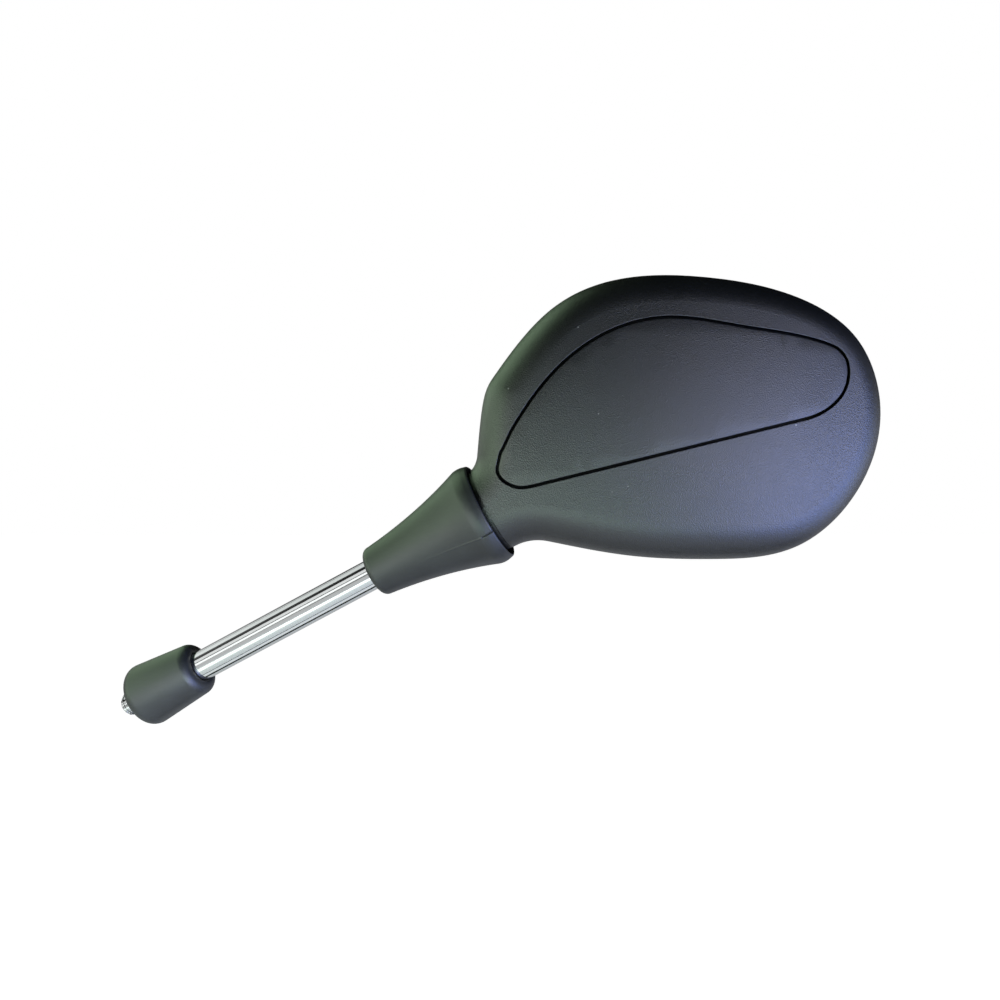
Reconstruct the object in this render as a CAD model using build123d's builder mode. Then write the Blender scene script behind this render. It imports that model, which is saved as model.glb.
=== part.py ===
from build123d import *
import os
from math import asin, cos, degrees, radians, sin

# Left-hand scooter mirror, as mounted: +X outward, +Z up, glass facing +Y.
# The origin is where the lock nut meets the handlebar boss, on the stud's axis.

# Stem direction
stem_rise = 28.3            # angle above level, seen from the front
stem_lean = 7.6             # forward lean of the stem

# Stem and stud
rod_r = 5.0
stud_r = 4.0
stud_free = 20.0            # thread below the lock nut
stud_chamfer = 1.0
engaged_r = 3.6             # mean thread radius inside the lock nut
rod_gap = 0.7               # lock nut to the rod's shoulder
rod_chamfer = 0.4
top_stud_r = 3.0
top_stud_proud = 1.5        # thread past the pivot nut
top_chamfer = 0.6

# Lock nut
nut_flats = 12.0
nut_height = 6.5
nut_bevel = 0.9
thread_gap = 0.03

# Lower cap
cap_length = 25.7
cap_foot_wall = 3.8         # wall at the foot, before rounding
cap_wall = 1.3              # wall at the top of the bore
cap_nut_gap = 0.27          # bore to the lock nut's corners
cap_head_gap = 1.5          # lock nut to the roof
cap_roof = 3.0
cap_foot_round = 3.2
cap_shoulder_round = 2.8
rubber_gap = 0.05           # rubber to rod

# Boot
pivot_w = 122.0             # pivot centre along the stem
boot_lip_drop = 1.0         # lip plane below the pivot centre
boot_length = 43.0
boot_mouth_gap = 2.0        # mouth to the dome, so that the head can tilt
boot_lip_width = 1.2
boot_lip_depth = 2.9        # widest point below the lip plane
boot_lip_edge = 0.2         # flat left at the lip's top
boot_tail_r = 8.35
boot_tail_round = 2.2
boot_tail_draft = 0.1       # slope of the side where the tail ends
boot_wall = 1.9
boot_collar = 5.0           # length of the collar on the rod
boot_collar_cone = 1.0      # rise from the collar to the inner wall
# flare between lip and tail: share of the radius left, share of the length
boot_flare = [(0.69, 0.224), (0.345, 0.478), (0.127, 0.739)]

# Friction pivot, spherical layers round the pivot centre
dome_r = 13.4               # outside of the neck's dome
dome_wall = 2.4
dome_hole = 31.0            # half angle of the opening in the dome
slip_gap = 0.05             # between spherical layers
liner_wall = 1.0
liner_from = 29.0
liner_to = 47.0
seat_wall = 1.5
seat_to = 44.0
seat_hub_r = 5.6
seat_height = 18.0          # pivot centre above the rod's shoulder
washer_to = 50.0
washer_top = -5.5
bolt_gap = 0.1              # washers on the top stud
spring_r = 6.0
spring_thick = 0.7
spring_rise = 0.45
spring_count = 3
flat_washer_thick = 1.2
flat_washer_r = 6.2
pivot_nut_flats = 10.0
pivot_nut_height = 6.0
pivot_nut_bevel = 0.8

# Housing
rim_depth = 13.4            # rim plane in front of the pivot centre
crown_r = 320.0
crown_x = 38.0
crown_y = 24.0
back_edge_r = 12.0
wall = 2.6
neck_tail = 18.0            # neck outline carried past the pivot before trimming
lower_blend_r = 15.0
lower_blend_turn = 39.8
lower_blend_start = 0.7
upper_blend_r = 8.0
upper_blend_turn = 57.0
upper_blend_start = -3.2
rim_round = 1.2
gusset_depth = 2.0          # front face of the webs beside the neck
gusset_reach = 36.0
neck_cover = 0.05           # front of the neck outside the dome
neck_bore_reach = 16.0
egg_points = [
    (43.0, -14.5),
    (68.8, -15.6),
    (94.5, -12.2),
    (114.5, 4.8),
    (122.8, 29.9),
    (114.4, 54.9),
    (91.8, 68.0),
    (66.4, 72.3),
    (40.6, 71.7),
    (17.3, 61.5),
    (0.8, 42.1),
]
opening_from = 0.03         # stretch of the egg outline that the glass opening follows
opening_to = 0.95
opening_height = 6.0        # straight edge of the opening above the pivot centre
inside_height = 1.5         # the same edge of the space behind the opening
rim_step = 0.3              # front wall beside the neck outside the rim's own line
shift_steps = 24            # points that carry an outline to its offset

# Back panel
panel_thick = 2.0
panel_gap = 0.8
panel_seat_gap = 0.05
tray_floor = 2.0
tray_margin = 2.4
peg_r = 1.8
peg_gap = 0.2
peg_head_r = 3.0
peg_head = 1.2
peg_spots = [(22.0, 22.0), (50.0, 40.0), (88.0, 40.0)]
panel_base = [(16.0, 8.4), (94.0, 27.6)]
panel_low_right = [(103.6, 32.6), (108.2, 42.8)]
panel_up_right = (103.6, 49.4)
panel_top = [(74.1, 54.6), (51.1, 56.9), (35.9, 53.2), (19.2, 41.6), (8.0, 27.0), (1.7, 13.0)]
panel_tip = (5.4, 7.6)
panel_tip_draft = 0.2

# Mirror glass and its holder
glass_r = 1200.0
glass_x = 58.0
glass_y = 29.0
glass_inset = 0.4           # apex of the glass below the rim plane
glass_thick = 2.0
holder_thick = 1.6
glass_gap = 0.5             # edge gap to the housing
bond = 0.02
rib_thick = 1.8
rib_reach = 3.2
rib_count = 9

os.makedirs("parts", exist_ok=True)

rise = radians(stem_rise)
lean = radians(stem_lean)
stem_dir = Vector(cos(lean) * cos(rise), -sin(lean), cos(lean) * sin(rise))
stem_side = Vector(-sin(rise), 0, cos(rise))
stem_axis = Axis((0, 0, 0), stem_dir)
pivot = stem_dir * pivot_w
# profile sketches: x is the radius, y runs up the stem
profile_plane = Plane((0, 0, 0), x_dir=stem_side, z_dir=stem_side.cross(stem_dir))
pivot_profile = Plane(pivot, x_dir=stem_side, z_dir=stem_side.cross(stem_dir))
pivot_level = Plane(pivot, x_dir=stem_side, z_dir=stem_dir)
lip_centre = pivot - stem_dir * boot_lip_drop
boot_profile = Plane(lip_centre, x_dir=stem_side, z_dir=stem_side.cross(stem_dir))
# head sketches: x outward, y up, z toward the back of the housing
head_plane = Plane(pivot, x_dir=(1, 0, 0), z_dir=(0, -1, 0))
stem_flat = Vector(cos(rise), sin(rise))
side_flat = Vector(-sin(rise), cos(rise))

# along the stem from the origin, or from the pivot centre where named so
rod_start = nut_height + rod_gap
rod_end = pivot_w - seat_height
spring_pitch = spring_thick + spring_rise
springs_top = washer_top + spring_count * spring_pitch
pivot_nut_start = pivot_w + springs_top + flat_washer_thick
top_stud_end = pivot_nut_start + pivot_nut_height + top_stud_proud
cap_top = nut_height + cap_head_gap + cap_roof
cap_bottom = cap_top - cap_length

# radii of what fits on the stem
grip_r = rod_r + rubber_gap
bolt_r = top_stud_r + bolt_gap
cap_bore_r = nut_flats / 3**0.5 + cap_nut_gap
boot_mouth_r = dome_r + boot_mouth_gap
boot_lip_r = boot_mouth_r + boot_lip_width
liner_r = dome_r + slip_gap
seat_r = liner_r + liner_wall + slip_gap
seat_out_r = seat_r + seat_wall
dome_inner_r = dome_r - dome_wall
washer_r = dome_inner_r - slip_gap

# the crown stands as high as the dome over the pivot
crown_drop = crown_r - (crown_r**2 - crown_x**2 - crown_y**2) ** 0.5
crown_top = dome_r + crown_drop
recess_r = crown_r - panel_thick
tray_r = recess_r - tray_floor
peg_head_top_r = tray_r - panel_seat_gap
crown_centre = (crown_x, crown_y, crown_top - crown_r)
glass_centre = (glass_x, glass_y, glass_r + glass_inset - rim_depth)
holder_back_r = glass_r - glass_thick - bond - holder_thick


def lower_blend():
    start = stem_flat * lower_blend_start - side_flat * dome_r
    return JernArc(start, stem_flat, lower_blend_r, -lower_blend_turn)


def upper_blend():
    start = stem_flat * upper_blend_start + side_flat * dome_r
    return JernArc(start, stem_flat, upper_blend_r, upper_blend_turn)


def egg_curve(low, high):
    ends = (low % 1, -(high % 1))
    return Spline([low @ 1] + egg_points + [high @ 1], tangents=ends)


def housing_outline():
    """Egg outline with the neck, as one closed wire."""
    with BuildLine() as outline:
        low = lower_blend()
        high = upper_blend()
        egg_curve(low, high)
        foot_low = -stem_flat * neck_tail - side_flat * dome_r
        foot_high = -stem_flat * neck_tail + side_flat * dome_r
        Polyline(low @ 0, foot_low, foot_high, high @ 0)
    make_face(outline.edges())


def shifted(edge, amount):
    """The edge moved to its outer side by the amount, as a fresh curve in the sketch."""
    spots = [edge @ (i / shift_steps) for i in range(shift_steps + 1)]
    headings = [edge % (i / shift_steps) for i in range(shift_steps + 1)]
    moved = [p + Vector(t.Y, -t.X) * amount for p, t in zip(spots, headings)]
    if edge.geom_type == GeomType.LINE:
        return Line(moved[0], moved[-1])
    if edge.geom_type == GeomType.CIRCLE:
        return ThreePointArc(moved[0], moved[shift_steps // 2], moved[-1])
    return Spline(moved, tangents=(headings[0], headings[-1]))


def on_straight(point, heading, height):
    """Where a tangent line meets the straight edge beside the neck."""
    rest = height - point.dot(stem_flat)
    return point + heading * (rest / heading.dot(stem_flat))


def closed_egg(curve, height):
    """Egg outline closed across the neck by a straight between two arcs."""
    with BuildLine(mode=Mode.PRIVATE):
        top_corner = on_straight(curve @ 1, curve % 1, height)
        low_corner = on_straight(curve @ 0, curve % 0, height)
        start = top_corner - side_flat * (top_corner - curve @ 1).length
        end = low_corner + side_flat * (low_corner - curve @ 0).length
        drop = TangentArc(curve @ 1, start, tangent=curve % 1)
        straight = Line(start, end)
        run = TangentArc(end, curve @ 0, tangent=straight % 1)
    return [curve, drop, straight, run]


def egg_line():
    with BuildLine(mode=Mode.PRIVATE):
        curve = egg_curve(lower_blend(), upper_blend())
    return curve


def egg_face(edges, inset, mode):
    with BuildLine() as outline:
        for edge in edges:
            shifted(edge, -inset)
    make_face(outline.edges(), mode=mode)


def opening_outline(inset, mode=Mode.ADD):
    """Rim of the glass, clear of the boot when the head tilts."""
    curve = egg_line().trim(opening_from, opening_to)
    egg_face(closed_egg(curve, opening_height), inset, mode)


def inside_outline(inset):
    """Space behind the glass, which reaches into the neck."""
    egg_face(closed_egg(egg_line(), inside_height), inset, Mode.ADD)


def panel_edges():
    """Leaf outline of the back panel."""
    with BuildLine(mode=Mode.PRIVATE):
        base = Line(panel_base)
        right = Spline([base @ 1] + panel_low_right, tangents=(base % 1, (0, 1)))
        corner = TangentArc(right @ 1, panel_up_right, tangent=right % 1)
        top = Spline([corner @ 1] + panel_top, tangents=(corner % 1, (-panel_tip_draft, -1)))
        tip = Spline([top @ 1, panel_tip, base @ 0], tangents=(top % 1, base % 0))
    return [base, right, corner, top, tip]


def panel_outline(grow=0.0):
    with BuildLine() as outline:
        for edge in panel_edges():
            shifted(edge, grow)
    make_face(outline.edges())


def crown_ball(radius, mode):
    """Ball concentric with the crowned back of the housing."""
    with Locations(head_plane):
        with Locations(crown_centre):
            Sphere(radius, rotation=(90, 0, 0), mode=mode)


def glass_ball(radius, mode):
    """Ball concentric with the convex glass."""
    with Locations(head_plane):
        with Locations(glass_centre):
            Sphere(radius, rotation=(90, 0, 0), mode=mode)


def peg_discs(radius):
    """Prisms over the panel's pegs."""
    with BuildSketch(head_plane) as discs:
        with Locations(*peg_spots):
            Circle(radius)
    return discs.sketch


def boot_side(outset):
    """Points of the boot's flare between lip and tail, moved out by the amount."""
    length = boot_length - boot_lip_depth - boot_tail_round
    return [
        (boot_tail_r + left * (boot_lip_r - boot_tail_r) + outset, -boot_lip_depth - down * length)
        for left, down in boot_flare
    ]


def layer(radius, angle):
    """Point of a spherical layer, by its angle from straight down the stem."""
    return (radius * sin(radians(angle)), -radius * cos(radians(angle)))


def layer_arc(radius, start, end):
    return ThreePointArc(layer(radius, start), layer(radius, (start + end) / 2), layer(radius, end))


def bore_angle(radius, bore):
    return degrees(asin(bore / radius))


def ring(inner, outer, bottom, top):
    """Plain washer on the stem's axis, heights from the pivot centre."""
    with BuildSketch(pivot_profile) as section:
        with Locations(((inner + outer) / 2, (bottom + top) / 2)):
            Rectangle(outer - inner, top - bottom)
    revolve(section.sketch, axis=stem_axis)


def hex_nut(start, flats, height, bore, bevel):
    """Hexagon nut on the stem's axis with both faces bevelled."""
    corner = flats / 3**0.5
    with BuildSketch(Plane(stem_dir * start, x_dir=stem_side, z_dir=stem_dir)) as hexagon:
        RegularPolygon(flats / 2, 6, major_radius=False)
        Circle(bore, mode=Mode.SUBTRACT)
    extrude(hexagon.sketch, amount=height)
    with BuildSketch(profile_plane) as bevels:
        with BuildLine():
            Polyline(
                (0, start),
                (flats / 2 - bevel / 3, start),
                (corner, start + bevel),
                (corner, start + height - bevel),
                (flats / 2 - bevel / 3, start + height),
                (0, start + height),
                close=True,
            )
        make_face()
    revolve(bevels.sketch, axis=stem_axis, mode=Mode.INTERSECT)


def finish(builder, name):
    builder.part.label = name
    export_step(builder.part, f"parts/{name}.step")


# Stem: M8 stud, rod and M6 top end turned from one bar
with BuildPart() as stem:
    with BuildSketch(profile_plane):
        with BuildLine():
            Polyline(
                (0, -stud_free),
                (stud_r - stud_chamfer, -stud_free),
                (stud_r, stud_chamfer - stud_free),
                (stud_r, 0),
                (engaged_r, 0),
                (engaged_r, rod_start),
                (rod_r - rod_chamfer, rod_start),
                (rod_r, rod_start + rod_chamfer),
                (rod_r, rod_end - rod_chamfer),
                (rod_r - rod_chamfer, rod_end),
                (top_stud_r, rod_end),
                (top_stud_r, top_stud_end - top_chamfer),
                (top_stud_r - top_chamfer, top_stud_end),
                (0, top_stud_end),
                close=True,
            )
        make_face()
    revolve(axis=stem_axis)
finish(stem, "stem")

with BuildPart() as lock_nut:
    hex_nut(0, nut_flats, nut_height, engaged_r + thread_gap, nut_bevel)
finish(lock_nut, "lock_nut")

# Rubber cap: tapered cup that grips the rod above the lock nut
with BuildPart() as lower_cap:
    with BuildSketch(profile_plane) as cap_profile:
        with BuildLine():
            Polyline(
                (cap_bore_r, cap_bottom),
                (cap_bore_r + cap_foot_wall, cap_bottom),
                (cap_bore_r + cap_wall, cap_top),
                (grip_r, cap_top),
                (grip_r, cap_top - cap_roof),
                (cap_bore_r, cap_top - cap_roof),
                close=True,
            )
        make_face()
        corners = cap_profile.vertices()
        foot = corners.sort_by_distance((cap_bore_r + cap_foot_wall, cap_bottom))[0]
        shoulder = corners.sort_by_distance((cap_bore_r + cap_wall, cap_top))[0]
        fillet(foot, cap_foot_round)
        fillet(shoulder, cap_shoulder_round)
    revolve(axis=stem_axis)
finish(lower_cap, "lower_cap")

# Rubber boot: flared gaiter with a thick rounded lip round the neck
with BuildPart() as boot:
    with BuildSketch(boot_profile):
        with BuildLine():
            lip = TangentArc(
                (boot_lip_r, -boot_lip_depth),
                (boot_mouth_r + boot_lip_edge, 0),
                tangent=(0, 1),
            )
            tail = (boot_tail_r, boot_tail_round - boot_length)
            ends = ((0, -1), (-boot_tail_draft, -1))
            flare = Spline([lip @ 0] + boot_side(0) + [tail], tangents=ends)
            heel = TangentArc(
                flare @ 1,
                (boot_tail_r - boot_tail_round, -boot_length),
                tangent=flare % 1,
            )
            inner_top = (boot_mouth_r, -boot_lip_depth)
            inner_end = (boot_tail_r - boot_wall, boot_collar_cone + boot_collar - boot_length)
            inside = Spline([inner_top] + boot_side(-boot_wall) + [inner_end], tangents=ends)
            Polyline(
                heel @ 1,
                (grip_r, -boot_length),
                (grip_r, boot_collar - boot_length),
                inside @ 1,
            )
            Polyline(inside @ 0, (boot_mouth_r, 0), lip @ 1)
        make_face()
    revolve(axis=stem_axis)
finish(boot, "boot")

# Pivot: spherical layers clamped on the stem's top end
with BuildPart() as pivot_seat:
    with BuildSketch(pivot_profile):
        with BuildLine():
            inner = layer_arc(seat_r, bore_angle(seat_r, bolt_r), seat_to)
            outer = layer_arc(seat_out_r, bore_angle(seat_out_r, seat_hub_r), seat_to)
            Line(inner @ 1, outer @ 1)
            Polyline(
                outer @ 0,
                (seat_hub_r, -seat_height),
                (bolt_r, -seat_height),
                inner @ 0,
            )
        make_face()
    revolve(axis=stem_axis)
finish(pivot_seat, "pivot_seat")

with BuildPart() as friction_liner:
    with BuildSketch(pivot_profile):
        with BuildLine():
            inner = layer_arc(liner_r, liner_from, liner_to)
            outer = layer_arc(liner_r + liner_wall, liner_from, liner_to)
            Line(inner @ 0, outer @ 0)
            Line(inner @ 1, outer @ 1)
        make_face()
    revolve(axis=stem_axis)
finish(friction_liner, "friction_liner")

with BuildPart() as pivot_washer:
    with BuildSketch(pivot_profile):
        with BuildLine():
            under = layer_arc(washer_r, bore_angle(washer_r, bolt_r), washer_to)
            Polyline(
                under @ 1,
                (layer(washer_r, washer_to)[0], washer_top),
                (bolt_r, washer_top),
                under @ 0,
            )
        make_face()
    revolve(axis=stem_axis)
finish(pivot_washer, "pivot_washer")

with BuildPart() as disc_springs:
    for i in range(spring_count):
        base = washer_top + i * spring_pitch
        rim_up = spring_rise * (i % 2)
        bore_up = spring_rise - rim_up
        with BuildSketch(pivot_profile):
            with BuildLine():
                Polyline(
                    (bolt_r, base + bore_up),
                    (spring_r, base + rim_up),
                    (spring_r, base + rim_up + spring_thick),
                    (bolt_r, base + bore_up + spring_thick),
                    close=True,
                )
            make_face()
        revolve(axis=stem_axis)
finish(disc_springs, "disc_springs")

with BuildPart() as spring_washer:
    ring(bolt_r, flat_washer_r, springs_top, springs_top + flat_washer_thick)
finish(spring_washer, "spring_washer")

with BuildPart() as pivot_nut:
    hex_nut(
        pivot_nut_start,
        pivot_nut_flats,
        pivot_nut_height,
        top_stud_r + thread_gap,
        pivot_nut_bevel,
    )
finish(pivot_nut, "pivot_nut")

# Housing: outer form with the crowned back and its rounded edge
with BuildPart() as body:
    with BuildSketch(head_plane.offset(-rim_depth)):
        housing_outline()
    extrude(amount=rim_depth + crown_top)
    crown_ball(crown_r, Mode.INTERSECT)
    neck_foot = pivot - stem_dir * neck_tail
    crown = body.faces().filter_by(GeomType.SPHERE)[0]
    fillet(crown.edges().sort_by_distance(neck_foot)[1:], back_edge_r)
    front = body.faces().sort_by(Axis.Y)[-1]
    fillet(front.edges().sort_by_distance(neck_foot)[1:], rim_round)

# space outside the dome, below the pivot centre
with BuildPart() as below_dome:
    with BuildSketch(pivot_level):
        Circle(gusset_reach)
    extrude(amount=-gusset_reach)
    with Locations(pivot):
        Sphere(dome_r, mode=Mode.SUBTRACT)

# space in front of the neck, outside the rim
with BuildPart() as before_neck:
    with BuildSketch(head_plane.offset(-gusset_depth)):
        Circle(gusset_reach)
        opening_outline(inset=-rim_step, mode=Mode.SUBTRACT)
    extrude(amount=-2 * rim_depth)
    with BuildSketch(pivot_level):
        Circle(dome_r + neck_cover)
    extrude(amount=gusset_reach, both=True, mode=Mode.SUBTRACT)

# tray under the back panel
with BuildPart() as tray:
    with BuildSketch(head_plane):
        panel_outline(panel_gap + tray_margin)
    extrude(amount=crown_top)
    crown_ball(tray_r, Mode.SUBTRACT)

# wall that stays between the glass and the neck
with BuildPart() as neck_wall:
    with BuildSketch(head_plane.offset(wall - gusset_depth)):
        Circle(gusset_reach)
        opening_outline(inset=wall - rim_step, mode=Mode.SUBTRACT)
    extrude(amount=-2 * rim_depth)

# inside of the housing, less the tray and the ribs that carry the glass holder
with BuildPart() as cavity:
    with BuildSketch(head_plane.offset(-rim_depth)):
        inside_outline(wall)
    extrude(amount=rim_depth + crown_top)
    crown_ball(crown_r - wall, Mode.INTERSECT)
    roof = cavity.faces().filter_by(GeomType.SPHERE)[0]
    fillet(roof.edges(), back_edge_r - wall)
    add(tray.part, mode=Mode.SUBTRACT)
    add(neck_wall.part, mode=Mode.SUBTRACT)
    rim = egg_line()
    for i in range(rib_count):
        spot = (i + 0.5) / rib_count
        across = rim % spot
        with Locations(head_plane):
            with Locations(Plane(rim @ spot, x_dir=across, z_dir=(0, 0, 1))):
                Box(
                    rib_thick,
                    2 * (wall + rib_reach),
                    4 * crown_top,
                    mode=Mode.SUBTRACT,
                )

# seat of the glass holder
with BuildPart() as pocket:
    with BuildSketch(head_plane.offset(-rim_depth)):
        inside_outline(wall)
    extrude(amount=rim_depth)
    glass_ball(holder_back_r, Mode.SUBTRACT)
    add(neck_wall.part, mode=Mode.SUBTRACT)

# recess of the back panel
with BuildPart() as recess:
    with BuildSketch(head_plane):
        panel_outline(panel_gap)
    extrude(amount=2 * crown_top)
    crown_ball(recess_r, Mode.SUBTRACT)

with BuildPart() as shell:
    add(body.part)
    add(recess.part, mode=Mode.SUBTRACT)
    add(below_dome.part, mode=Mode.SUBTRACT)
    add(before_neck.part, mode=Mode.SUBTRACT)
    add(cavity.part, mode=Mode.SUBTRACT)
    add(pocket.part, mode=Mode.SUBTRACT)
    extrude(peg_discs(peg_r + peg_gap), amount=2 * crown_top, mode=Mode.SUBTRACT)
    with Locations(pivot):
        Sphere(dome_inner_r, mode=Mode.SUBTRACT)
    with BuildSketch(pivot_level):
        Circle(dome_inner_r)
    extrude(amount=neck_bore_reach, mode=Mode.SUBTRACT)
    with BuildSketch(pivot_profile):
        with BuildLine():
            hole_edge = layer(2 * dome_r, dome_hole)
            Polyline((0, 0), hole_edge, (0, hole_edge[1]), close=True)
        make_face()
    revolve(axis=stem_axis, mode=Mode.SUBTRACT)
finish(shell, "shell")

# pegs of the back panel with their staked heads under the tray
with BuildPart() as pegs:
    extrude(peg_discs(peg_head_r), amount=2 * crown_top)
    crown_ball(peg_head_top_r, Mode.INTERSECT)
    extrude(peg_discs(peg_r), amount=2 * crown_top)
    crown_ball(crown_r - panel_thick / 2, Mode.INTERSECT)
    crown_ball(peg_head_top_r - peg_head, Mode.SUBTRACT)

# Back panel: flush leaf, held by its pegs
with BuildPart() as back_panel:
    with BuildSketch(head_plane):
        panel_outline()
    extrude(amount=2 * crown_top)
    add(body.part, mode=Mode.INTERSECT)
    crown_ball(recess_r + panel_seat_gap, Mode.SUBTRACT)
    add(pegs.part)
finish(back_panel, "back_panel")

with BuildPart() as glass_holder:
    with BuildSketch(head_plane.offset(-rim_depth)):
        opening_outline(inset=wall + glass_gap)
    extrude(amount=rim_depth)
    glass_ball(glass_r - glass_thick - bond, Mode.INTERSECT)
    glass_ball(holder_back_r + bond, Mode.SUBTRACT)
finish(glass_holder, "glass_holder")

with BuildPart() as mirror_glass:
    with BuildSketch(head_plane.offset(-rim_depth)):
        opening_outline(inset=wall + glass_gap)
    extrude(amount=rim_depth)
    glass_ball(glass_r, Mode.INTERSECT)
    glass_ball(glass_r - glass_thick, Mode.SUBTRACT)
finish(mirror_glass, "mirror_glass")
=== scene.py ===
import math

import bmesh
import bpy
from mathutils import Matrix, Vector
from mathutils.geometry import interpolate_bezier

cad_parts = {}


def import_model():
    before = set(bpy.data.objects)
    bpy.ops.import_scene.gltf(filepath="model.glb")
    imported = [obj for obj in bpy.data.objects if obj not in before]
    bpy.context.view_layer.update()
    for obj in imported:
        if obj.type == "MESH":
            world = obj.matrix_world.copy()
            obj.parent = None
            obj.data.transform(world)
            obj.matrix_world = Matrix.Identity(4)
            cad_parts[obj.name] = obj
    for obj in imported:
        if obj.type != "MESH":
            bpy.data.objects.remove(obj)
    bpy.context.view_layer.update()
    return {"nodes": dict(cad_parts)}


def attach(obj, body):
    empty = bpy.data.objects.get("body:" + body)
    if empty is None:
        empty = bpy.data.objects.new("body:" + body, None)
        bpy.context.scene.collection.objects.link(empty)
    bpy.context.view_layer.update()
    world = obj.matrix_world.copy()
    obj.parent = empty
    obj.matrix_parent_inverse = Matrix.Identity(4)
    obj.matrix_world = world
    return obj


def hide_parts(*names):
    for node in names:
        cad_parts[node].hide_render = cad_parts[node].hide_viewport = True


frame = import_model()

# Sizes in metres; heights along the stem count from the part's origin
MM = 0.001
WHITE = (1.0, 1.0, 1.0)
BLACK = (0.0, 0.0, 0.0)

# Stem's directions, along it, to its upper side and toward the camera, and the pivot's height
STEM_RISE = math.radians(28.3)
STEM_LEAN = math.radians(7.6)
STEM_DIR = Vector((
    math.cos(STEM_LEAN) * math.cos(STEM_RISE),
    -math.sin(STEM_LEAN),
    math.cos(STEM_LEAN) * math.sin(STEM_RISE),
))
STEM_UPPER = Vector((-math.sin(STEM_RISE), 0, math.cos(STEM_RISE)))
STEM_FRONT = STEM_DIR.cross(STEM_UPPER)
PIVOT_W = 122.0 * MM

# Stem: the stud, its stretch inside the lock nut, the rod and the top end
STUD_R = 4.0 * MM
STUD_ROOT_R = 3.25 * MM
STUD_PITCH = 1.25 * MM
STUD_FREE = 20.0 * MM
STUD_CHAMFER = 1.0 * MM
ENGAGED_R = 3.6 * MM
ENGAGED_START = 0.02 * MM
ROD_R = 5.0 * MM
ROD_START = 7.2 * MM
ROD_END = 104.0 * MM
ROD_CHAMFER = 0.4 * MM
TOP_R = 3.0 * MM
TOP_ROOT_R = 2.4 * MM
TOP_PITCH = 1.0 * MM
TOP_NUT = 121.15 * MM
TOP_NUT_HEIGHT = 6.0 * MM
TOP_END = 128.65 * MM
TOP_CHAMFER = 0.6 * MM

# Threads: flats as shares of the pitch, and rows of points in one pitch
THREAD_ROOT_FLAT = 0.25
THREAD_CREST_FLAT = 0.125
THREAD_ROWS = 12

# Back panel: its rounded rim, and the y of a face's normal that tells front and walls apart
PANEL_INSET = 0.15 * MM
PANEL_ROUND = 0.45 * MM
PANEL_ROUND_STEPS = 4
PANEL_WELD = 0.0001 * MM
PANEL_FRONT_Y = -0.8
PANEL_WALL_Y = 0.3

# Cap: radii, and heights along the stem
CAP_BORE_R = 7.2 * MM
CAP_BORE_CHAMFER = 0.5 * MM
CAP_FOOT = (10.93 * MM, -14.0 * MM)
CAP_FOOT_ROUND = 3.5 * MM
CAP_SHOULDER = (8.65 * MM, 10.2 * MM)
CAP_SHOULDER_ROUND = 2.8 * MM
CAP_GRIP_R = 5.05 * MM
CAP_GRIP_CHAMFER = 0.3 * MM
CAP_ROOF = 6.8 * MM
CAP_ROUND_STEPS = 14

# Boot: radii, and heights along the stem from the pivot's centre
BOOT_GRIP_R = 5.05 * MM
BOOT_COLLAR = 5.0 * MM
BOOT_TAIL_END = (6.15 * MM, -44.0 * MM)
BOOT_TAIL = (8.35 * MM, -41.8 * MM)
BOOT_CORNER = (16.72 * MM, -4.5 * MM)
BOOT_CORNER_ROUND = 6.0 * MM
BOOT_LIP_START = (15.95 * MM, -1.5 * MM)
BOOT_LIP = (15.5 * MM, -1.0 * MM)
BOOT_MOUTH_R = 15.4 * MM
BOOT_MOUTH_END = -4.75 * MM
BOOT_WALL = 1.9 * MM

# Boot: reach of its curves' handles, points in each curve, and one in how many the inside keeps
BOOT_HEEL_HANDLE = 0.9 * MM
BOOT_TAIL_HANDLE = (1.25 * MM, 12.5 * MM)
BOOT_FLARE_HANDLE = (4.45 * MM, 12.4 * MM)
BOOT_LIP_HANDLE = 0.1 * MM
BOOT_HEEL_STEPS = 8
BOOT_FLARE_STEPS = 48
BOOT_CORNER_STEPS = 16
BOOT_BAND_STEPS = 6
BOOT_LIP_STEPS = 5
BOOT_INSIDE_SKIP = 3

# Mould line of the boot: its place as a share of a turn, its notch and rib, and points across it
SEAM_TURN = 0.308
SEAM_WIDTH = 0.30 * MM
SEAM_DEPTH = 0.35 * MM
SEAM_NOTCH = 0.4 * MM
SEAM_RIB = 0.17 * MM
SEAM_RIB_LENGTH = 26.0 * MM
SEAM_SPREAD = (-1.5, -1, -0.5, 0, 0.5, 1, 1.5)

# Points in a turn, and angles in degrees above which an edge stays hard
STEM_SEGMENTS = 72
RUBBER_SEGMENTS = 144
STEM_SHARP = 35.0
PANEL_SHARP = 40.0
RUBBER_SHARP = 60.0

# Share of the way to a corner at which a curve's handles make it nearly round
ROUND_HANDLE = 0.56

# Camera of the photograph: its focal length is 0.8 of the picture's width
CAMERA_PLACE = (0.1086, -0.2683, 0.0602)
CAMERA_TURN = (math.radians(90), 0, 0)
CAMERA_LENS = 28.8
CAMERA_SENSOR = 36.0

# Floor, and the levels that polished surfaces see round the part, with angles in degrees from an aim
FLOOR_Z = -0.22
FLOOR_HALF = 6.0
FLOOR_COLOUR = (0.8, 0.8, 0.8)
FLOOR_ROUGHNESS = 0.9
FLOOR_LEVEL = 0.36
BACK_AIM = (0, 1, 0)
BACK_EDGE = 110
BACK_CORE = 70
BACK_LEVEL = 0.50
FRONT_LEVEL = 0.04
CEILING_AIM = (0.12, 0.30, 0.95)
CEILING_EDGE = 80
CEILING_CORE = 52
CEILING_SHARE = 0.005

# Share of the surroundings that lights matt surfaces
DIFFUSE_SHARE = 0.35

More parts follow.
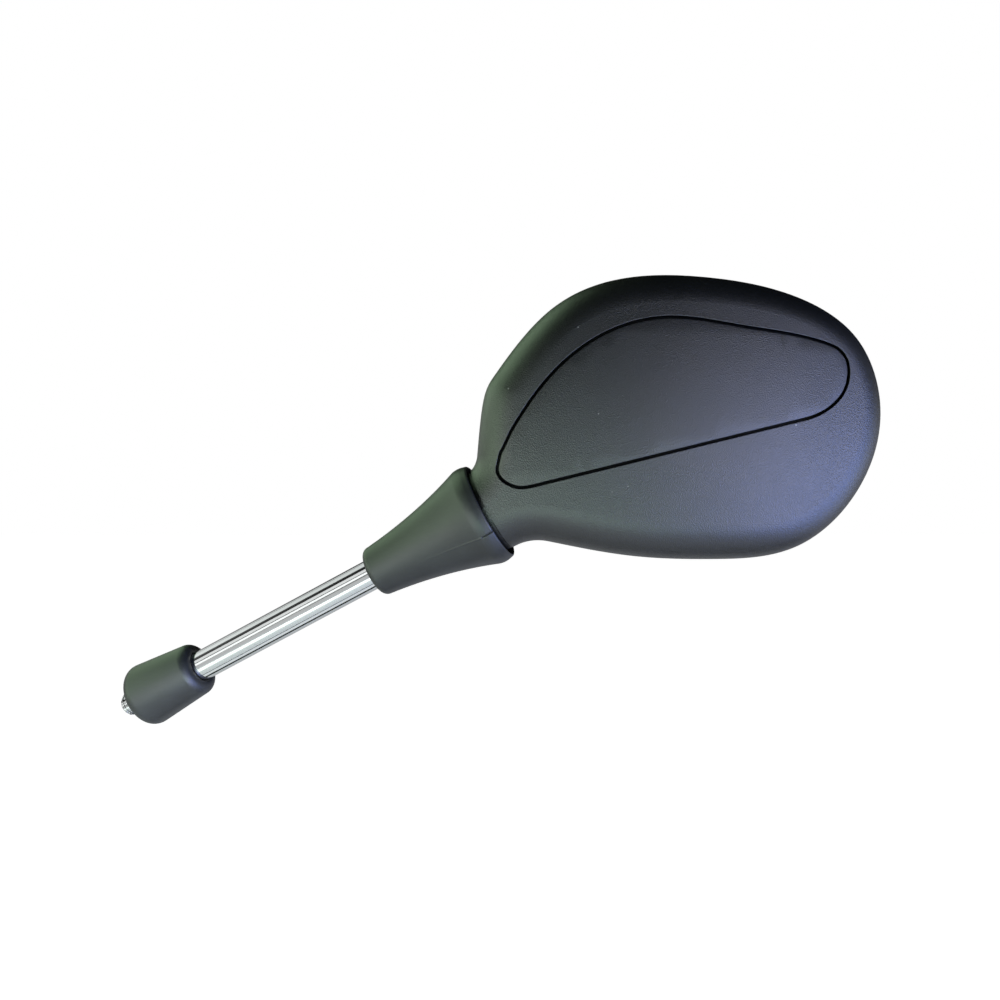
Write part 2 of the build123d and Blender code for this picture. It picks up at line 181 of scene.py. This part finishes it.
# Lamps: what they aim at, their usual distance and size, and pieces that some leave out or keep to
HEAD_CENTRE = Vector((0.165, -0.02, 0.085))
ROD_CENTRE = STEM_DIR * 0.055
CAP_CENTRE = STEM_DIR * -0.002
SOFTBOX_DISTANCE = 0.6
SOFTBOX_SIZE = 0.4
CARD_DISTANCE = 0.16
CARD_DROP = 0.065
CARD_LENGTH = 0.5
POLISHED = ["threaded_stem", "mirror_glass"]
RIM_PIECES = ["shell", "boot_gaiter", "cap_sleeve"]

# Places of a mix node's sockets: the two that go in, and the one that comes out
MIX_NUMBERS = (2, 3, 0)
MIX_COLOURS = (6, 7, 2)


# Node helpers

class Graph:
    """Short ways to add nodes to a node tree."""

    def __init__(self, tree):
        self.tree = tree

    def add(self, kind, **settings):
        """New node with the given settings."""
        node = self.tree.nodes.new(kind)
        for key, value in settings.items():
            setattr(node, key, value)
        return node

    def feed(self, value, target):
        """Gives a socket a number, a direction, a colour as a tuple, or a link from another socket."""
        if isinstance(value, bpy.types.NodeSocket):
            self.tree.links.new(value, target)
        elif isinstance(value, tuple):
            target.default_value = (*value, 1.0)
        else:
            target.default_value = value

    def calculate(self, operation, first, second):
        """Result of a sum, product or comparison of two values."""
        node = self.add("ShaderNodeMath", operation=operation)
        self.feed(first, node.inputs[0])
        self.feed(second, node.inputs[1])
        return node.outputs["Value"]

    def weighted(self, first, share, second, other_share):
        """Sum of two values, each times its share."""
        first_part = self.calculate("MULTIPLY", first, share)
        second_part = self.calculate("MULTIPLY", second, other_share)
        return self.calculate("ADD", first_part, second_part)

    def spread(self, value, low, high, start=0.3, end=0.7, easing="LINEAR"):
        """The value from start to end taken to low and high."""
        node = self.add("ShaderNodeMapRange", interpolation_type=easing)
        self.feed(value, node.inputs["Value"])
        self.feed(start, node.inputs["From Min"])
        self.feed(end, node.inputs["From Max"])
        self.feed(low, node.inputs["To Min"])
        self.feed(high, node.inputs["To Max"])
        return node.outputs["Result"]

    def mix(self, kind, sockets, factor, first, second):
        """Mix that goes from the first value to the second as the factor goes from 0 to 1."""
        node = self.add("ShaderNodeMix", data_type=kind)
        first_in, second_in, result = sockets
        self.feed(factor, node.inputs["Factor"])
        self.feed(first, node.inputs[first_in])
        self.feed(second, node.inputs[second_in])
        return node.outputs[result]

    def choose(self, factor, first, second):
        """Mix of two numbers."""
        return self.mix("FLOAT", MIX_NUMBERS, factor, first, second)

    def blend(self, factor, first, second):
        """Mix of two colours."""
        return self.mix("RGBA", MIX_COLOURS, factor, first, second)

    def ray_kinds(self):
        """Two flags: for camera rays, and for camera, glossy and transmission rays alike."""
        path = self.add("ShaderNodeLightPath")
        camera_ray = path.outputs["Is Camera Ray"]
        seen = camera_ray
        for name in ("Is Glossy Ray", "Is Transmission Ray"):
            seen = self.calculate("MAXIMUM", seen, path.outputs[name])
        return camera_ray, seen


class Shader(Graph):
    """A material with a Principled shader, and short ways to give it a finish."""

    def __init__(self, name):
        self.material = bpy.data.materials.new(name)
        self.material.use_nodes = True
        super().__init__(self.material.node_tree)
        self.surface = self.tree.nodes["Principled BSDF"]

    def constant(self, **values):
        """Values of the shader's own sockets, named with an underscore for each space."""
        for key, value in values.items():
            self.feed(value, self.surface.inputs[key.replace("_", " ")])

    def texture(self, kind, size):
        """Texture on the object's own coordinates, with features of about the given size in metres."""
        node = self.add(kind)
        self.feed(1.0 / size, node.inputs["Scale"])
        self.feed(self.add("ShaderNodeTexCoord").outputs["Object"], node.inputs["Vector"])
        return node

    def noise(self, size, detail=3.0, roughness=0.55):
        """Noise whose blots are about the given size."""
        node = self.texture("ShaderNodeTexNoise", size)
        self.feed(detail, node.inputs["Detail"])
        self.feed(roughness, node.inputs["Roughness"])
        return node.outputs["Fac"]

    def cells(self, size):
        """Voronoi cells of the given size."""
        return self.texture("ShaderNodeTexVoronoi", size)

    def specks(self, spacing, radius, left_out):
        """Flag for a few round specks: their radius is a share of the spacing, and some are left out."""
        cells = self.cells(spacing)
        near = self.calculate("LESS_THAN", cells.outputs["Distance"], radius)
        draw = self.add("ShaderNodeSeparateColor")
        self.feed(cells.outputs["Color"], draw.inputs["Color"])
        chosen = self.calculate("GREATER_THAN", draw.outputs["Red"], left_out)
        return self.calculate("MULTIPLY", near, chosen)

    def two_tone(self, value, first, second):
        """Colour that goes from the first to the second over the middle of a noise."""
        return self.blend(self.spread(value, 0.0, 1.0), first, second)

    def bump(self, height, depth, strength, edge=None):
        """Relief of the given depth in metres, on edges rounded by a small radius."""
        node = self.add("ShaderNodeBump")
        self.feed(strength, node.inputs["Strength"])
        self.feed(depth, node.inputs["Distance"])
        self.feed(height, node.inputs["Height"])
        if edge:
            rounding = self.add("ShaderNodeBevel", samples=6)
            self.feed(edge, rounding.inputs["Radius"])
            self.feed(rounding.outputs["Normal"], node.inputs["Normal"])
        self.feed(node.outputs["Normal"], self.surface.inputs["Normal"])

    def crevice_painted_shade(self, reach):
        """Painted shade: ambient occlusion turns the specular tint black in narrow gaps, so they lose their
        gloss where little light comes in.
        """
        node = self.add("ShaderNodeAmbientOcclusion", samples=8)
        self.feed(reach, node.inputs["Distance"])
        open_air = self.spread(node.outputs["AO"], 0.0, 1.0, start=0.45, end=0.80)
        self.feed(self.blend(open_air, BLACK, WHITE), self.surface.inputs["Specular Tint"])

    def colour(self, source):
        """Base colour from another node."""
        self.feed(source, self.surface.inputs["Base Color"])

    def roughness(self, source):
        """Roughness from another node."""
        self.feed(source, self.surface.inputs["Roughness"])


# Materials

def housing_plastic():
    """Black moulded plastic with an eroded grain, a few dust specks, soft edges and painted shade in its
    narrow gaps.
    """
    shader = Shader("housing_plastic")
    shader.constant(Specular_IOR_Level=0.9)
    grain = shader.cells(size=0.34 * MM).outputs["Distance"]
    fine = shader.noise(size=0.20 * MM, detail=4.0)
    broad = shader.noise(size=25 * MM, detail=2.0)
    shader.bump(shader.weighted(grain, 0.7, fine, 0.6), depth=0.09 * MM, strength=0.9, edge=0.3 * MM)
    shader.roughness(shader.spread(shader.weighted(fine, 0.75, broad, 0.25), low=0.27, high=0.47))
    # Painted shade: the gloss goes dark in the panel's groove and other narrow gaps
    shader.crevice_painted_shade(reach=1.6 * MM)
    black = shader.two_tone(fine, (0.002, 0.0021, 0.0022), (0.006, 0.0062, 0.0064))
    dust = shader.specks(spacing=6 * MM, radius=0.035, left_out=0.35)
    shader.colour(shader.blend(dust, black, (0.25, 0.24, 0.22)))
    return shader.material


def rubber():
    """Satin black rubber with a fine mould grain."""
    shader = Shader("rubber")
    shader.constant(Specular_IOR_Level=0.75)
    fine = shader.noise(size=0.3 * MM, detail=4.0)
    broad = shader.noise(size=9 * MM, detail=3.0)
    shader.bump(shader.weighted(fine, 1.0, broad, 0.8), depth=0.05 * MM, strength=0.35, edge=0.25 * MM)
    shader.roughness(shader.spread(shader.weighted(fine, 0.4, broad, 0.6), low=0.38, high=0.52))
    shader.colour(shader.two_tone(broad, (0.010, 0.0105, 0.0105), (0.017, 0.018, 0.0175)))
    return shader.material


def bright_metal(name, colour, worn, smooth, dull, scratch):
    """Metal with faint patches, from smooth to dull, and fine scratches of the given size."""
    shader = Shader(name)
    shader.constant(Metallic=1.0)
    patches = shader.noise(size=6 * MM, detail=4.0)
    lines = shader.noise(size=scratch, detail=5.0, roughness=0.7)
    shader.colour(shader.two_tone(patches, colour, worn))
    shader.roughness(shader.spread(shader.weighted(patches, 0.5, lines, 0.5), low=smooth, high=dull))
    shader.bump(lines, depth=0.01 * MM, strength=0.15, edge=0.12 * MM)
    return shader.material


def chrome():
    """Bright chrome plate."""
    return bright_metal(
        "chrome", (0.80, 0.81, 0.81), worn=(0.76, 0.77, 0.77),
        smooth=0.05, dull=0.10, scratch=0.5 * MM,
    )


def zinc_plated_steel():
    """Grey zinc plate on nuts and washers."""
    return bright_metal(
        "zinc_plated_steel", (0.62, 0.63, 0.62), worn=(0.50, 0.51, 0.53),
        smooth=0.26, dull=0.40, scratch=0.4 * MM,
    )


def spring_steel():
    """Dark tempered steel."""
    return bright_metal(
        "spring_steel", (0.30, 0.29, 0.29), worn=(0.22, 0.22, 0.24),
        smooth=0.30, dull=0.44, scratch=0.4 * MM,
    )


def cast_alloy():
    """Dull cast alloy."""
    return bright_metal(
        "cast_alloy", (0.50, 0.50, 0.51), worn=(0.40, 0.40, 0.42),
        smooth=0.42, dull=0.58, scratch=0.7 * MM,
    )


def nylon():
    """Off-white nylon, slightly mottled."""
    shader = Shader("nylon")
    shader.constant(Subsurface_Weight=0.05)
    mottle = shader.noise(size=1.5 * MM, detail=4.0)
    shader.colour(shader.two_tone(mottle, (0.58, 0.55, 0.48), (0.68, 0.65, 0.58)))
    shader.roughness(shader.spread(mottle, low=0.42, high=0.58))
    shader.bump(mottle, depth=0.03 * MM, strength=0.3)
    return shader.material


def mirror_silver():
    """Silvered glass with a faint film of dust."""
    shader = Shader("mirror_glass")
    shader.constant(Metallic=1.0)
    film = shader.noise(size=14 * MM, detail=5.0, roughness=0.65)
    shader.colour(shader.two_tone(film, (0.80, 0.83, 0.84), (0.86, 0.88, 0.89)))
    shader.roughness(shader.spread(film, low=0.012, high=0.05))
    shader.bump(film, depth=0.002 * MM, strength=0.05, edge=0.3 * MM)
    return shader.material


MATERIALS = {
    "housing_plastic": housing_plastic(),
    "rubber": rubber(),
    "chrome": chrome(),
    "zinc_plated_steel": zinc_plated_steel(),
    "spring_steel": spring_steel(),
    "cast_alloy": cast_alloy(),
    "nylon": nylon(),
    "mirror_glass": mirror_silver(),
}

FINISHES = {
    "housing_plastic": ["shell", "back_panel", "glass_holder"],
    "nylon": ["friction_liner"],
    "rubber": ["boot", "lower_cap"],
    "chrome": ["stem"],
    "zinc_plated_steel": ["lock_nut", "pivot_washer", "spring_washer", "pivot_nut"],
    "spring_steel": ["disc_springs"],
    "cast_alloy": ["pivot_seat"],
    "mirror_glass": ["mirror_glass"],
}


def dress_nodes():
    """Each solid shows the finish of its material slot."""
    for slot, names in FINISHES.items():
        for name in names:
            mesh = frame["nodes"][name].data
            mesh.materials.clear()
            mesh.materials.append(MATERIALS[slot])


# Pieces

def new_piece(name, bm, slot, sharp):
    """Piece of the part with its slot's finish, smooth but for edges above an angle in degrees."""
    mesh = bpy.data.meshes.new(name)
    bmesh.ops.recalc_face_normals(bm, faces=bm.faces)
    bm.to_mesh(mesh)
    bm.free()
    for face in mesh.polygons:
        face.use_smooth = True
    mesh.set_sharp_from_angle(angle=math.radians(sharp))
    mesh.materials.append(MATERIALS[slot])
    piece = bpy.data.objects.new(name, mesh)
    bpy.context.scene.collection.objects.link(piece)
    return piece


def on_stem(radius, turn, w):
    """Point at a radius, a share of a turn and a height along the stem."""
    angle = 2 * math.pi * turn
    return STEM_DIR * w + (STEM_UPPER * math.cos(angle) + STEM_FRONT * math.sin(angle)) * radius


def even_turns(count):
    """Shares of a turn, evenly spaced."""
    return [i / count for i in range(count)]


def plain_rows(outline, base=0.0):
    """Rows of constant radius, from an outline of radii and heights above a base."""
    return [(base + w, lambda turn, r=r: r) for r, w in outline]


def turned(rows, turns, ring):
    """Turned body from rows of height and radius: a closed ring, or a bar with flat ends."""
    bm = bmesh.new()
    loops = []
    for w, radius in rows:
        loops.append([bm.verts.new(on_stem(radius(turn), turn, w)) for turn in turns])
    pairs = list(zip(loops, loops[1:]))
    if ring:
        pairs.append((loops[-1], loops[0]))
    count = len(turns)
    for low, high in pairs:
        for i in range(count):
            j = (i + 1) % count
            bm.faces.new((low[i], low[j], high[j], high[i]))
    if not ring:
        bm.faces.new(loops[0])
        bm.faces.new(loops[-1])
    return bm


def thread_radius(w, turn, major, root, pitch):
    """Radius of a vee thread with flat crests and roots."""
    phase = (w / pitch - turn) % 1.0
    ramp = abs(2 * phase - 1)
    flank = 1 - THREAD_ROOT_FLAT - THREAD_CREST_FLAT
    share = min(max((ramp - THREAD_ROOT_FLAT) / flank, 0.0), 1.0)
    return root + (major - root) * share


def thread_rows(start, end, major, root, pitch, tip, chamfer):
    """Rows of a threaded stretch, with its tip bevelled."""
    steps = round((end - start) / (pitch / THREAD_ROWS))
    rows = []
    for i in range(steps + 1):
        w = start + (end - start) * i / steps

        def radius(turn, w=w):
            bevel = major - chamfer + abs(w - tip)
            return min(thread_radius(w, turn, major, root, pitch), bevel)

        rows.append((w, radius))
    return rows


def threaded_stem():
    """Chromed stem with its cut M8 stud and M6 top end."""
    rod = [
        (ENGAGED_R, ENGAGED_START),
        (ENGAGED_R, ROD_START),
        (ROD_R - ROD_CHAMFER, ROD_START),
        (ROD_R, ROD_START + ROD_CHAMFER),
        (ROD_R, ROD_END - ROD_CHAMFER),
        (ROD_R - ROD_CHAMFER, ROD_END),
        (TOP_R, ROD_END),
        (TOP_R, TOP_NUT),
    ]
    top_start = TOP_NUT + TOP_NUT_HEIGHT
    rows = thread_rows(-STUD_FREE, 0, STUD_R, STUD_ROOT_R, STUD_PITCH, -STUD_FREE, STUD_CHAMFER)
    rows += plain_rows(rod)
    rows += thread_rows(top_start, TOP_END, TOP_R, TOP_ROOT_R, TOP_PITCH, TOP_END, TOP_CHAMFER)
    body = turned(rows, even_turns(STEM_SEGMENTS), ring=False)
    piece = new_piece("threaded_stem", body, "chrome", STEM_SHARP)
    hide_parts("stem")
    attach(piece, "stem")


def rounded_panel():
    """Back panel as its solid, a little inside it, with the rim rounded over."""
    bm = bmesh.new()
    bm.from_mesh(frame["nodes"]["back_panel"].data)
    bmesh.ops.remove_doubles(bm, verts=bm.verts, dist=PANEL_WELD)
    bm.normal_update()
    rim = []
    walls = set()
    for edge in bm.edges:
        faces = sorted(edge.link_faces, key=lambda face: face.normal.y)
        if len(faces) != 2:
            continue
        front, wall = faces
        if front.normal.y < PANEL_FRONT_Y and abs(wall.normal.y) < PANEL_WALL_Y:
            rim.append(edge)
            walls.add(wall)
    outward = {}
    for wall in walls:
        for vert in wall.verts:
            outward.setdefault(vert, []).append(Vector((wall.normal.x, 0, wall.normal.z)))
    for vert, normals in outward.items():
        vert.co -= sum(normals, Vector()).normalized() * PANEL_INSET
    bmesh.ops.bevel(
        bm,
        geom=rim,
        offset=PANEL_ROUND,
        segments=PANEL_ROUND_STEPS,
        profile=0.5,
        affect="EDGES",
        clamp_overlap=True,
    )
    piece = new_piece("leaf_panel", bm, "housing_plastic", PANEL_SHARP)
    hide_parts("back_panel")
    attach(piece, "head")


def curve(start, lead, trail, end, steps):
    """Points of a cubic curve between two ends, after its start."""
    places = [Vector((*p, 0)) for p in (start, lead, trail, end)]
    return [(p.x, p.y) for p in interpolate_bezier(*places, steps + 1)][1:]


def rounded(before, corner, after, radius, steps):
    """Points that round a corner of an outline by about the given radius."""
    here = Vector(corner)
    back = (Vector(before) - here).normalized()
    ahead = (Vector(after) - here).normalized()
    reach = radius / math.tan(back.angle(ahead) / 2)
    start = here + back * reach
    end = here + ahead * reach
    lead = start.lerp(here, ROUND_HANDLE)
    trail = end.lerp(here, ROUND_HANDLE)
    return [tuple(start)] + curve(start, lead, trail, end, steps)


def cap():
    """Rubber cap with its rounded shoulder and foot."""
    foot = CAP_FOOT[1]
    top = CAP_SHOULDER[1]
    bore_foot = (CAP_BORE_R, foot)
    grip_top = (CAP_GRIP_R, top)
    outline = [
        (CAP_BORE_R, CAP_ROOF),
        (CAP_BORE_R, foot + CAP_BORE_CHAMFER),
        (CAP_BORE_R + CAP_BORE_CHAMFER, foot),
    ]
    outline += rounded(bore_foot, CAP_FOOT, CAP_SHOULDER, CAP_FOOT_ROUND, CAP_ROUND_STEPS)
    outline += rounded(CAP_FOOT, CAP_SHOULDER, grip_top, CAP_SHOULDER_ROUND, CAP_ROUND_STEPS)
    outline += [
        (CAP_GRIP_R + CAP_GRIP_CHAMFER, top),
        (CAP_GRIP_R, top - CAP_GRIP_CHAMFER),
        (CAP_GRIP_R, CAP_ROOF),
    ]
    body = turned(plain_rows(outline), even_turns(RUBBER_SEGMENTS), ring=True)
    piece = new_piece("cap_sleeve", body, "rubber", RUBBER_SHARP)
    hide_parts("lower_cap")
    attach(piece, "cap")


def boot_outline():
    """Outer side of the boot from the tail to the lip."""
    foot = BOOT_TAIL_END[1]
    heel_lead = (BOOT_TAIL[0] - BOOT_HEEL_HANDLE, foot)
    heel_trail = (BOOT_TAIL[0], foot + BOOT_HEEL_HANDLE)
    tail_lead = (BOOT_TAIL[0] + BOOT_TAIL_HANDLE[0], BOOT_TAIL[1] + BOOT_TAIL_HANDLE[1])
    flare_trail = (BOOT_CORNER[0] - BOOT_FLARE_HANDLE[0], BOOT_CORNER[1] - BOOT_FLARE_HANDLE[1])
    lip_lead = (BOOT_LIP_START[0] - BOOT_LIP_HANDLE, BOOT_LIP[1] - BOOT_LIP_HANDLE)
    corner = rounded(flare_trail, BOOT_CORNER, BOOT_LIP_START, BOOT_CORNER_ROUND, BOOT_CORNER_STEPS)
    outline = [(BOOT_GRIP_R, foot), BOOT_TAIL_END]
    outline += curve(BOOT_TAIL_END, heel_lead, heel_trail, BOOT_TAIL, BOOT_HEEL_STEPS)
    outline += curve(BOOT_TAIL, tail_lead, flare_trail, corner[0], BOOT_FLARE_STEPS)
    outline += corner[1:]
    outline += curve(corner[-1], corner[-1], BOOT_LIP_START, BOOT_LIP_START, BOOT_BAND_STEPS)
    outline += curve(BOOT_LIP_START, lip_lead, BOOT_LIP, BOOT_LIP, BOOT_LIP_STEPS)
    return outline


def boot_inside(outside):
    """Inner side of the boot from the mouth back to the collar, a wall's thickness inside the outer side."""
    hollow = [point for point in outside if BOOT_TAIL[1] < point[1] < BOOT_MOUTH_END]
    inside = [(BOOT_MOUTH_R, BOOT_LIP[1]), (BOOT_MOUTH_R, BOOT_MOUTH_END)]
    inside += [(max(r - BOOT_WALL, BOOT_GRIP_R), w) for r, w in hollow[::-BOOT_INSIDE_SKIP]]
    inside += [(BOOT_GRIP_R, BOOT_TAIL_END[1] + BOOT_COLLAR)]
    return inside


def seam_lift(r, w, turn):
    """Height of the mould line on the boot: a notch across the lip, then a faint rib."""
    away = abs((turn - SEAM_TURN + 0.5) % 1.0 - 0.5) * 2 * math.pi * r / SEAM_WIDTH
    if away > 1:
        return 0.0
    if w > BOOT_CORNER[1] - SEAM_NOTCH:
        return -SEAM_DEPTH * (1 - away)
    fade = max(0.0, 1 + (w - BOOT_CORNER[1]) / SEAM_RIB_LENGTH)
    return SEAM_RIB * fade * (1 - away)


def seamed_rows(outline, base):
    """Rows of the boot's outer side with its mould line, above a base."""
    return [(base + w, lambda turn, r=r, w=w: r + seam_lift(r, w, turn)) for r, w in outline]


def boot():
    """Rubber boot with a straight flare, a rounded lip and its mould line."""
    outside = boot_outline()
    rows = seamed_rows(outside, PIVOT_W) + plain_rows(boot_inside(outside), PIVOT_W)
    seam_share = SEAM_WIDTH / (2 * math.pi * BOOT_LIP[0])
    turns = even_turns(RUBBER_SEGMENTS) + [SEAM_TURN + seam_share * step for step in SEAM_SPREAD]
    body = turned(rows, sorted(turns), ring=True)
    piece = new_piece("boot_gaiter", body, "rubber", RUBBER_SHARP)
    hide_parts("boot")
    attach(piece, "boot")


# Stage, camera and light

def camera():
    """Camera of the photograph, level and looking along +Y."""
    data = bpy.data.cameras.new("camera")
    data.lens = CAMERA_LENS
    data.sensor_width = CAMERA_SENSOR
    view = bpy.data.objects.new("camera", data)
    view.location = CAMERA_PLACE
    view.rotation_euler = CAMERA_TURN
    bpy.context.scene.collection.objects.link(view)
    bpy.context.scene.camera = view


def square(name, half, material):
    """Flat square of the given half side."""
    bm = bmesh.new()
    bmesh.ops.create_grid(bm, x_segments=1, y_segments=1, size=half)
    mesh = bpy.data.meshes.new(name)
    bm.to_mesh(mesh)
    bm.free()
    mesh.materials.append(material)
    sheet = bpy.data.objects.new(name, mesh)
    bpy.context.scene.collection.objects.link(sheet)
    return sheet


def floor():
    """White floor far below, greyer where polished surfaces mirror it."""
    shader = Shader("floor")
    shader.constant(Base_Color=FLOOR_COLOUR, Roughness=FLOOR_ROUGHNESS, Emission_Color=WHITE)
    camera_ray, seen = shader.ray_kinds()
    glow = shader.calculate("MULTIPLY", seen, shader.choose(camera_ray, FLOOR_LEVEL, 1.0))
    shader.feed(glow, shader.surface.inputs["Emission Strength"])
    stage = square("floor", FLOOR_HALF, shader.material)
    stage.location = (0, 0, FLOOR_Z)


def toward(graph, aim, edge, core, low, high):
    """Level that goes from low to high as a ray turns toward the aim, from the edge's angle to the core's."""
    turn = graph.add("ShaderNodeVectorMath", operation="DOT_PRODUCT")
    graph.feed(graph.add("ShaderNodeTexCoord").outputs["Generated"], turn.inputs[0])
    graph.feed(Vector(aim).normalized(), turn.inputs[1])
    start = math.cos(math.radians(edge))
    end = math.cos(math.radians(core))
    return graph.spread(turn.outputs["Value"], low, high, start, end, easing="SMOOTHSTEP")


def world():
    """White backdrop; in reflections it is grey behind the part, and dark in front and overhead."""
    backdrop = bpy.data.worlds.new("world")
    bpy.context.scene.world = backdrop
    backdrop.use_nodes = True
    graph = Graph(backdrop.node_tree)
    behind = toward(graph, BACK_AIM, BACK_EDGE, BACK_CORE, FRONT_LEVEL, BACK_LEVEL)
    ceiling = toward(graph, CEILING_AIM, CEILING_EDGE, CEILING_CORE, 1.0, CEILING_SHARE)
    mirrored = graph.calculate("MULTIPLY", behind, ceiling)
    matt = graph.calculate("MULTIPLY", mirrored, DIFFUSE_SHARE)
    camera_ray, seen = graph.ray_kinds()
    background = graph.tree.nodes["Background"]
    strength = graph.choose(seen, matt, graph.choose(camera_ray, mirrored, 1.0))
    graph.feed(strength, background.inputs["Strength"])
    graph.feed(WHITE, background.inputs["Color"])


def area_lamp(name, place, turn, width, height, brightness, colour):
    """Rectangular lamp, as bright whatever its size, unseen by the camera."""
    data = bpy.data.lights.new(name, "AREA")
    data.shape = "RECTANGLE"
    data.size = width
    data.size_y = height
    data.energy = brightness * math.pi * width * height
    data.color = colour
    lamp = bpy.data.objects.new(name, data)
    lamp.location = place
    lamp.rotation_euler = turn.to_euler()
    lamp.visible_camera = False
    bpy.context.scene.collection.objects.link(lamp)
    return lamp


def lit_pieces(lamp, pieces, state):
    """Lamp that lights some pieces alone, or all but those pieces."""
    name = "_".join([state.lower(), *pieces])
    group = bpy.data.collections.get(name)
    if group is None:
        group = bpy.data.collections.new(name)
        for piece in pieces:
            group.objects.link(bpy.data.objects[piece])
        for member in group.collection_objects:
            member.light_linking.link_state = state
    lamp.light_linking.receiver_collection = group


def softbox(
    name, direction, brightness, colour,
    target=HEAD_CENTRE, distance=SOFTBOX_DISTANCE, size=SOFTBOX_SIZE, only=None,
):
    """Square lamp from a direction, on all but the polished pieces or on some pieces only."""
    aim = Vector(direction).normalized()
    turn = aim.to_track_quat("Z", "Y")
    lamp = area_lamp(name, target + aim * distance, turn, size, size, brightness, colour)
    if only:
        lit_pieces(lamp, only, "INCLUDE")
    else:
        lit_pieces(lamp, POLISHED, "EXCLUDE")


def around_rod(angle):
    """Direction from the rod at an angle in degrees from the camera's side toward the stem's upper side."""
    return STEM_FRONT * math.cos(math.radians(angle)) + STEM_UPPER * math.sin(math.radians(angle))


def beside_rod(angle):
    """Place and turn of a long card beside the rod, at an angle round it."""
    aim = around_rod(angle)
    place = ROD_CENTRE + aim * CARD_DISTANCE - STEM_DIR * CARD_DROP
    return place, Matrix((STEM_DIR, aim.cross(STEM_DIR), aim)).transposed()


def card_width(half):
    """Width of a card that fills the given half angle in degrees, seen from the rod."""
    return 2 * CARD_DISTANCE * math.tan(math.radians(half))


def chrome_card(name, angle, half, brightness, colour):
    """Long bright card that only the chrome shows."""
    place, turn = beside_rod(angle)
    lamp = area_lamp(name, place, turn, CARD_LENGTH, card_width(half), brightness, colour)
    lit_pieces(lamp, ["threaded_stem"], "INCLUDE")


def dark_flag(name, angle, half):
    """Long black card that polished surfaces show as a dark line."""
    shader = Shader(name)
    shader.constant(Base_Color=BLACK)
    flag = square(name, half=0.5, material=shader.material)
    place, turn = beside_rod(angle)
    flag.location = place
    flag.rotation_euler = turn.to_euler()
    flag.scale = (CARD_LENGTH, card_width(half), 1)
    flag.visible_camera = False
    flag.visible_diffuse = False
    flag.visible_transmission = False
    flag.visible_shadow = False


def softboxes():
    """Tinted lamps on all but the polished pieces, with two on the cap alone and one for the glass."""
    softbox("key", (0.78, -0.58, -0.24), brightness=5.3, colour=(0.12, 0.27, 1.0))
    softbox("key_top", (0.60, -0.75, -0.05), brightness=3.3, colour=(0.94, 0.93, 1.0))
    softbox("front", (-0.10, -0.85, -0.50), brightness=2.7, colour=(0.60, 1.0, 0.76))
    softbox("front_left", (-0.55, -0.78, -0.22), brightness=2.4, colour=(0.91, 1.0, 0.96))
    softbox("fill", (-0.90, -0.32, 0.04), brightness=2.2, colour=(0.74, 1.0, 0.70))
    softbox(
        "left_rim", (-0.72, 0.32, 0.55), brightness=1.35, colour=(0.68, 1.0, 0.64),
        size=0.6, only=RIM_PIECES,
    )
    softbox("right_rim", (0.95, -0.12, -0.28), brightness=2.1, colour=(0.60, 0.70, 1.0))
    softbox(
        "bounce", (0.0, -0.20, -0.98), brightness=0.15, colour=(0.95, 1.0, 1.0),
        distance=0.26, size=0.55,
    )
    softbox(
        "cap_light", (0.35, -0.90, -0.12), brightness=4.3, colour=(0.72, 0.86, 1.0),
        target=CAP_CENTRE, distance=0.3, size=0.2, only=["cap_sleeve"],
    )
    softbox(
        "cap_edge", (0.52, -0.79, -0.29), brightness=8.5, colour=(0.36, 0.36, 1.0),
        target=CAP_CENTRE, distance=0.3, size=0.1, only=["cap_sleeve"],
    )
    softbox(
        "glass_card", (-0.10, -0.95, 0.25), brightness=0.45, colour=(0.97, 0.99, 1.0),
        distance=1.2, size=2.4, only=["mirror_glass"],
    )


def chrome_cards():
    """Cards and flags that the rod shows as stripes: angle round it and half width, in degrees."""
    chrome_card("rear_edge", angle=126, half=8, brightness=0.60, colour=(0.95, 1.0, 0.98))
    chrome_card("rear", angle=100, half=16, brightness=0.80, colour=(0.95, 1.0, 0.98))
    chrome_card("upper_grey", angle=50, half=10, brightness=0.86, colour=(0.98, 1.0, 0.99))
    chrome_card("upper_white", angle=27.5, half=7.5, brightness=1.3, colour=(0.97, 1.0, 0.99))
    chrome_card("middle_grey", angle=4, half=14, brightness=0.20, colour=(0.94, 1.0, 0.98))
    chrome_card("lower_white", angle=-23, half=9, brightness=0.62, colour=(0.97, 1.0, 0.99))
    chrome_card("lower_grey", angle=-84, half=8, brightness=0.20, colour=(0.98, 0.97, 1.0))
    dark_flag("thin_flag", angle=-69, half=1.8)
    dark_flag("lower_flag", angle=-102, half=8)


dress_nodes()
threaded_stem()
cap()
boot()
rounded_panel()
camera()
floor()
world()
softboxes()
chrome_cards()
bpy.context.scene.view_settings.view_transform = "Standard"
